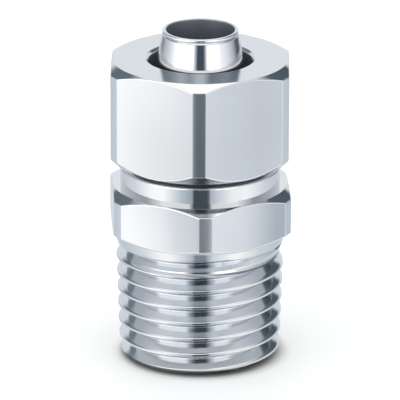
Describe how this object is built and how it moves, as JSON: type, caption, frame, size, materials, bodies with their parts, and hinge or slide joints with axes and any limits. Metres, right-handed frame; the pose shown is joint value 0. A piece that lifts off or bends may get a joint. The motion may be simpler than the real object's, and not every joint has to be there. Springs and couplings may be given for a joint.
{
  "type": "stainless insert fitting with union nut, male R 1/4 thread, for 8 x 6 mm soft tube",
  "caption": "Straight stainless tube fitting: taper thread and hexagon body, barbed nozzle, clamping sleeve and hexagonal union nut on a fine screw thread.",
  "frame": {"origin": "centre of the end face of the port thread, on the fitting's axis, where it stands", "axes": "+Z along the axis from the port thread to the nozzle; a corner of the body's hexagon points along -Y and two of its flats face +X and -X"},
  "size_m": [0.0144, 0.0156, 0.0269],
  "materials": {
    "body_steel": "bright turned and polished stainless steel",
    "nut_steel": "bright polished stainless steel",
    "sleeve_steel": "turned stainless steel"
  },
  "bodies": {
    "fitting_body": {"fitting_body": "body_steel"},
    "sleeve": {"sleeve": "sleeve_steel"},
    "union_nut": {"union_nut": "nut_steel"}
  },
  "joints": [
    {"name": "sleeve_travel", "type": "slide", "parent": "fitting_body", "child": "sleeve", "axis": [0, 0, 1], "range_m": [-0.00036, 0.00325]},
    {"name": "nut_turn", "type": "hinge", "parent": "sleeve", "child": "union_nut", "pos_m": [0, 0, 0.0205], "axis": [0, 0, 1], "range_deg": [-129, 1169]}
  ],
  "couplings": [
    {"joint": "sleeve_travel", "follows": "nut_turn", "m_per_rad": 0.00015915}
  ]
}
